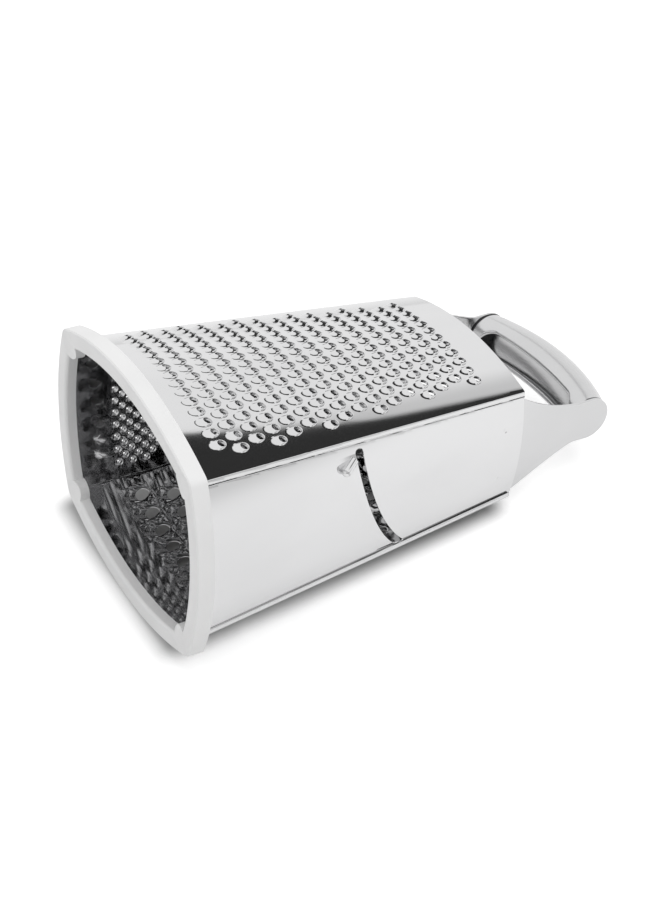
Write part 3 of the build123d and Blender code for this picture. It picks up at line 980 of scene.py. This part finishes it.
class GRATER_OT_grip(bpy.types.Operator):
    """Model the arched grip, a tube that is open underneath"""

    bl_idname = "grater.grip"
    bl_label = "Grip"

    columns, end_columns = 84, 14
    rows, roll_rows = 60, 5

    def execute(self, context):
        sizes, stations = group("grip"), self.stations()
        bpy.ops.mesh.primitive_grid_add(x_subdivisions=self.columns, y_subdivisions=self.rows, size=2)
        piece = added("grip_tube")

        def placed(point):
            """The tube's round, whose two edges roll inwards at the opening."""
            x = stations[round((point.x + 1) / 2 * self.columns)]
            row = round(abs(point.y) * self.rows / 2)
            round_rows = self.rows / 2 - self.roll_rows
            radius, half_turn = grip_radius(x), mouth_turn(x)
            roll = min(sizes.lip_roll, radius * half_turn / 2)
            straight = pi - half_turn - roll / radius
            curl = pi / 2 * max(0, row - round_rows) / self.roll_rows
            angle = straight * min(1, row / round_rows) + roll * sin(curl) / radius
            reach = radius - roll * (1 - cos(curl))
            side = 1 if point.y >= 0 else -1
            return Vector((x, side * reach * sin(angle), grip_middle(x) + reach * cos(angle)))

        reshaped(piece, placed)
        merged(piece)
        facing_out(piece)
        if sum(face.normal.z * (face.center.z - sizes.end_height) for face in piece.data.polygons) < 0:
            piece.data.flip_normals()
        walled(piece, sizes.wall)
        edged(piece, sizes.edge_round, 2)
        smoothed(piece, 45)
        dressed(piece, "satin_steel", "grip_shell", satin_steel())
        return {"FINISHED"}

    def stations(self):
        """Places of the rings along the grip, closer where the opening's ends are round."""
        half, radius, ends = grip_half(), group("grip").mouth_width / 2, self.end_columns
        tip, outer = half - group("grip").mouth_margin, self.columns // 2 - 2 * ends
        found = [mix(-half, -tip, step / outer) for step in range(outer)]
        found += [-tip + radius * (1 - cos(pi / 2 * step / ends)) for step in range(ends)]
        found += [mix(radius - tip, 0, step / ends) for step in range(ends)]
        return found + [0] + [-x for x in reversed(found)]


class GRATER_OT_grip_fittings(bpy.types.Operator):
    """Finish the grip's liner, plugs and pins"""

    bl_idname = "grater.grip_fittings"
    bl_label = "Grip fittings"

    def execute(self, context):
        finish_node("grip_liner", satin_steel())
        for side in ("left", "right"):
            finish_node(side + "_grip_plug", black_plastic())
            finish_node(side + "_grip_pin", satin_steel())
        return {"FINISHED"}


class GRATER_OT_base_ring(bpy.types.Operator):
    """Finish the white ring round the mouth"""

    bl_idname = "grater.base_ring"
    bl_label = "Base ring"

    def execute(self, context):
        finish_node("base_ring", white_plastic())
        return {"FINISHED"}


def finish_node(name, material):
    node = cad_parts[name]
    node.data.materials.clear()
    node.data.materials.append(material)


# Materials


class Wire:
    """A socket of a shader that takes part in sums."""

    def __init__(self, shader, socket):
        self.shader = shader
        self.socket = socket

    def sum_with(self, operation, first, second):
        return self.shader.node("ShaderNodeMath", {"operation": operation}, {0: first, 1: second}).out()

    def __add__(self, other):
        return self.sum_with("ADD", self, other)

    def __sub__(self, other):
        return self.sum_with("SUBTRACT", self, other)

    def __mul__(self, other):
        return self.sum_with("MULTIPLY", self, other)

    def __rsub__(self, other):
        return self.sum_with("SUBTRACT", other, self)

    __radd__ = __add__
    __rmul__ = __mul__


class Node:
    """A node of a shader whose outputs are read by name or number."""

    def __init__(self, shader, node):
        self.shader = shader
        self.node = node

    def out(self, name=0):
        return Wire(self.shader, self.node.outputs[name])


class Shader:
    """The node tree of a material or world."""

    def __init__(self, tree):
        self.tree = tree
        tree.nodes.clear()

    def node(self, kind, settings=None, sockets=None):
        """Adds a node, with its settings first and then the values or links of its sockets."""
        made = self.tree.nodes.new(kind)
        for key, value in (settings or {}).items():
            setattr(made, key, value)
        for key, value in (sockets or {}).items():
            if isinstance(value, Wire):
                self.tree.links.new(value.socket, made.inputs[key])
            else:
                made.inputs[key].default_value = value
        return Node(self, made)

    def noise(self, place, scale, detail, stretch=(1, 1, 1)):
        """A noise over the object, stretched along its axes."""
        spread = self.node("ShaderNodeMapping", None, {"Vector": place, "Scale": stretch}).out()
        sockets = {"Vector": spread, "Scale": scale, "Detail": detail}
        return self.node("ShaderNodeTexNoise", None, sockets).out("Fac")

    def remapped(self, value, edges, to_low=0, to_high=1):
        """Goes softly from one value to another between two edges."""
        low, high = edges
        sockets = {"Value": value, "From Min": low, "From Max": high, "To Min": to_low, "To Max": to_high}
        return self.node("ShaderNodeMapRange", {"interpolation_type": "SMOOTHSTEP"}, sockets).out()

    def blended(self, amount, first, second):
        sockets = {0: amount, 6: (*first, 1), 7: (*second, 1)}
        return self.node("ShaderNodeMix", {"data_type": "RGBA"}, sockets).out(2)

    def axes(self, place):
        """The three parts of a place or direction."""
        parts = self.node("ShaderNodeSeparateXYZ", None, {"Vector": place})
        return parts.out("X"), parts.out("Y"), parts.out("Z")


def made_material(name):
    """A new material and its shader, or the old material and no shader if it is there already."""
    found = bpy.data.materials.get(name)
    if found:
        return found, None
    material = bpy.data.materials.new(name)
    material.use_nodes = True
    return material, Shader(material.node_tree)


def place_of(shader):
    return shader.node("ShaderNodeTexCoord").out("Object")


def surface(shader, sockets, height, strength, distance):
    bump = shader.node("ShaderNodeBump", None, {"Height": height, "Strength": strength, "Distance": distance})
    principled = shader.node("ShaderNodeBsdfPrincipled", None, {**sockets, "Normal": bump.out()})
    shader.node("ShaderNodeOutputMaterial", None, {"Surface": principled.out()})


def toned(tone, amount):
    return tuple(min(1, part * amount) for part in tone)


def steel(name, tone, roughness, stretch, hairline, wave):
    """Sheet steel: a soft roll wave, hairlines along the sheet and faint wipe marks."""
    material, shader = made_material(name)
    if shader:
        place = place_of(shader)
        hairs = shader.noise(place, scale=90, detail=3, stretch=stretch)
        smears = shader.noise(place, scale=22, detail=4, stretch=(1, 1, 0.5))
        roll = shader.noise(place, scale=14, detail=1, stretch=(1, 1, 0.7))
        duller, hair_gloss, pale, dark = roughness * 0.5, hairline * 0.3, toned(tone, 1.02), toned(tone, 0.97)
        rough = roughness + shader.remapped(smears, (0.45, 0.7), 0, duller) + (hairs - 0.5) * hair_gloss
        tint = shader.blended(shader.remapped(smears, (0.35, 0.7)), pale, dark)
        sockets = {"Base Color": tint, "Metallic": 1.0, "Roughness": rough}
        surface(shader, sockets, roll * wave + hairs * hairline, strength=0.35, distance=0.0002)
    return material


def polished_steel():
    look = group("finish")
    return steel("mirror_sheet", look.steel, look.polish, (30, 30, 1), hairline=0.02, wave=1.0)


# Painted shade: the sheets' inside in a darker tone of steel for the shade inside the box, also used for the
# dark ring on the relief tube's nose
def shade_painted_steel():
    look = group("finish")
    return steel("sheet_inside_shaded", look.steel_inside_shaded, look.polish_inside, (30, 30, 1), hairline=0.02, wave=1.3)


def satin_steel():
    look = group("finish")
    return steel("brushed_grip", look.steel_satin, look.satin, (1, 40, 40), hairline=0.25, wave=0.4)


def ear_steel():
    look = group("finish")
    return steel("ear_sheet", look.steel_satin, look.satin_ear, (40, 40, 1), hairline=0.1, wave=0.6)


def plastic(name, tone, roughness, grain):
    """Moulded plastic: fine grain, faint flow marks and a slightly duller tone where it is handled."""
    material, shader = made_material(name)
    if shader:
        place = place_of(shader)
        fine = shader.noise(place, scale=1400, detail=2)
        flow = shader.noise(place, scale=35, detail=3)
        rough = roughness + shader.remapped(flow, (0.4, 0.7), 0, 0.08)
        tint = shader.blended(shader.remapped(flow, (0.35, 0.7)), tone, toned(tone, 0.97))
        sockets = {"Base Color": tint, "Roughness": rough}
        surface(shader, sockets, fine * grain + flow * 0.3, strength=0.25, distance=0.0001)
    return material


def white_plastic():
    return plastic("ring_plastic", group("finish").white, roughness=0.33, grain=0.3)


def black_plastic():
    return plastic("plug_plastic", group("finish").black, roughness=0.45, grain=0.6)


# Stage

# On the floor: where its own light fades, and the far edges of the painted shadow beneath the body, in half
# body widths
LIFT_FADE = (0.2, 0.5)
PAINTED_SHADOW_EDGES = (-1.8, -1.5)
# In the surroundings: the edges of the dark gap and of the grey strip, as parts of a direction. A side
# is an axis, its edges, and how much of the gap is left at each.
GAP_SLANT = 1.54
GAP_SLANTED_SIDE = (-1.18, -1.155)
GAP_LEFT = (-0.265, -0.225)
GAP_SOFT_LEFT = (-0.42, -0.28)
GAP_SOFT_HEIGHT = (0.55, 0.6)
GAP_SOFT_DARK = 0.3
GAP_SIDES = (
    (0, (0.53, 0.61), 1, 0),
    (2, (0.28, 0.34), 0, 1),
    (2, (0.8, 0.9), 1, 0),
    (1, (-0.35, -0.3), 1, 0),
)
STRIP_SIDE = (0.6, 0.8)
STRIP_HEIGHT = (-0.4, -0.2)
STRIP_DARK = 0.42


def seen(shader):
    """1 for the rays that show a background: from the camera, a reflection or through a glass."""
    path = shader.node("ShaderNodeLightPath")
    rays = path.out("Is Camera Ray") + path.out("Is Glossy Ray") + path.out("Is Transmission Ray")
    return shader.node("ShaderNodeMath", {"operation": "MINIMUM"}, {0: rays, 1: 1.0}).out()


def floor_material():
    """A pale floor that keeps the body's shadow and is clear from beneath."""
    look = group("stage")
    material, shader = made_material("pale_floor")
    painted_shadow = beneath(shader)
    # Painted shadow: the floor's colour is darkened beneath the body
    pale = shader.blended(painted_shadow, look.floor_white, toned(look.floor_white, look.floor_painted_shadow))
    diffuse = shader.node("ShaderNodeBsdfDiffuse", None, {"Color": pale})
    near = shader.remapped(shader.axes(place_of(shader))[0], LIFT_FADE, 1, 0)
    direct = shader.node("ShaderNodeLightPath").out("Is Camera Ray")
    # Painted shadow: beneath the body the floor shows none of its own light
    lift = (seen(shader) * look.floor_lift * near + direct * look.floor_bright) * (1 - painted_shadow)
    glow = shader.node("ShaderNodeEmission", None, {"Strength": lift})
    lit = shader.node("ShaderNodeAddShader", None, {0: diffuse.out(), 1: glow.out()})
    clear = shader.node("ShaderNodeBsdfTransparent")
    back = shader.node("ShaderNodeNewGeometry").out("Backfacing")
    sides = shader.node("ShaderNodeMixShader", None, {0: back, 1: lit.out(), 2: clear.out()})
    shader.node("ShaderNodeOutputMaterial", None, {"Surface": sides.out()})
    return material


def beneath(shader):
    """1 on the floor beneath the body, 0 outside it."""
    body = group("body")
    across, along = shader.axes(place_of(shader))[:2]
    half, soft = body.top_width / 2, body.hem * 4
    inside = shader.remapped(across, (half - soft / 2, half + soft / 2), 1, 0)
    inside = inside * shader.remapped(across, [half * edge for edge in PAINTED_SHADOW_EDGES])
    inside = inside * shader.remapped(along, (-soft, 0))
    return inside * shader.remapped(along, (body.height - soft, body.height), 1, 0)


def floor_plane():
    """A point of the floor, the direction in it along the body, and its upward direction: the ring's
    and the body's bellies rest on it."""
    body = group("body")
    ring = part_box("base_ring")[1]
    high = half_depth(body.height) + bow(body.wide_bow, half_width(body.height))
    low = Vector((0, ring.y, ring.z))
    along = (Vector((0, high, body.height)) - low).normalized()
    return low, along, Vector((1, 0, 0)).cross(along)


def dark_gap(shader):
    """How dark the surroundings are that polished steel mirrors: a gap between the overhead and the rear
    diffuser, with a soft upper edge, and a grey strip low beside the floor."""
    x, y, z = shader.axes(shader.node("ShaderNodeTexCoord").out("Generated"))
    slanted = shader.remapped(x - z * GAP_SLANT, GAP_SLANTED_SIDE)
    left = slanted + (1 - slanted) * shader.remapped(x, GAP_LEFT)
    soft = shader.remapped(x, GAP_SOFT_LEFT) * shader.remapped(z, GAP_SOFT_HEIGHT, 0, GAP_SOFT_DARK)
    gap = left + (1 - left) * soft
    for part, edges, low, high in GAP_SIDES:
        gap = gap * shader.remapped((x, y, z)[part], edges, low, high)
    strip = shader.remapped(x, STRIP_SIDE, 0, STRIP_DARK) * shader.remapped(y, STRIP_HEIGHT)
    return gap + (1 - gap) * strip


class GRATER_OT_stage(bpy.types.Operator):
    """Add the floor, the soft light and the camera"""

    bl_idname = "grater.stage"
    bl_label = "Stage"

    def execute(self, context):
        look = group("stage")
        spot, along, up = floor_plane()
        bpy.ops.mesh.primitive_plane_add(size=look.floor_size)
        floor = added("floor")
        laid = Matrix((up.cross(-along), along, up)).transposed().to_4x4()
        floor.matrix_world = Matrix.Translation(spot) @ laid
        floor.data.materials.append(floor_material())
        self.sky()
        self.lamp("key_lamp", look.key, look.key_size, look.key_distance, look.key_from)
        self.camera(context)
        context.scene.view_settings.view_transform = "Standard"
        return {"FINISHED"}

    def sky(self):
        look = group("stage")
        world = bpy.data.worlds.new("pale_studio")
        bpy.context.scene.world = world
        world.use_nodes = True
        shader = Shader(world.node_tree)
        shown = seen(shader)
        gap = dark_gap(shader) * shader.node("ShaderNodeLightPath").out("Is Glossy Ray")
        strength = shown * (1 - gap * look.gap_dark) + (1 - shown) * look.sky
        backdrop = shader.node("ShaderNodeBackground", None, {"Color": (1, 1, 1, 1), "Strength": strength})
        shader.node("ShaderNodeOutputWorld", None, {"Surface": backdrop.out()})

    def lamp(self, name, power, size, distance, source):
        middle = (CAD_BOX[0] + CAD_BOX[1]) / 2
        way = Vector(source).normalized()
        bpy.ops.object.light_add(type="AREA", location=middle + way * distance)
        lamp = added(name)
        lamp.rotation_mode = "QUATERNION"
        lamp.rotation_quaternion = way.to_track_quat("Z", "Y")
        lamp.data.size = size
        lamp.data.energy = power
        lamp.visible_glossy = False

    def camera(self, context):
        look = group("stage")
        back, up = Vector(look.camera_back).normalized(), Vector(look.camera_up).normalized()
        right = up.cross(back).normalized()
        up = back.cross(right)
        bpy.ops.object.camera_add()
        camera = added("camera")
        turned_to = Matrix((right, up, back)).transposed().to_4x4()
        camera.matrix_world = Matrix.Translation(Vector(look.camera_place)) @ turned_to
        camera.data.lens = look.lens
        camera.data.sensor_width = 36
        camera.data.clip_start, camera.data.clip_end = 0.01, 50
        context.scene.camera = camera


# Registration


PIECES = (
    GRATER_OT_medium_face,
    GRATER_OT_coarse_face,
    GRATER_OT_fine_face,
    GRATER_OT_slicing_face,
    GRATER_OT_base_ring,
    GRATER_OT_ears,
    GRATER_OT_grip,
    GRATER_OT_grip_fittings,
    GRATER_OT_stage,
)
GROUPS = {
    "body": BodySizes,
    "medium": MediumTeeth,
    "coarse": CoarseTeeth,
    "fine": FineTeeth,
    "slicer": SlicerSizes,
    "ear": EarSizes,
    "grip": GripSizes,
    "finish": Finishes,
    "stage": StageLook,
}


class GRATER_PT_panel(bpy.types.Panel):
    """The grater's pieces, one button each"""

    bl_idname = "GRATER_PT_panel"
    bl_label = "Box grater"
    bl_space_type = "VIEW_3D"
    bl_region_type = "UI"
    bl_category = "Grater"

    def draw(self, context):
        for piece in PIECES:
            self.layout.operator(piece.bl_idname, text=piece.bl_label)


def register():
    for kind in (*GROUPS.values(), *PIECES, GRATER_PT_panel):
        bpy.utils.register_class(kind)
    for name, kind in GROUPS.items():
        setattr(bpy.types.Scene, "grater_" + name, PointerProperty(type=kind))


def unregister():
    for name in GROUPS:
        delattr(bpy.types.Scene, "grater_" + name)
    for kind in (*GROUPS.values(), *PIECES, GRATER_PT_panel):
        bpy.utils.unregister_class(kind)


def main():
    register()
    for piece in PIECES:
        getattr(bpy.ops.grater, piece.bl_idname.split(".")[1])()


if __name__ == "__main__":
    main()
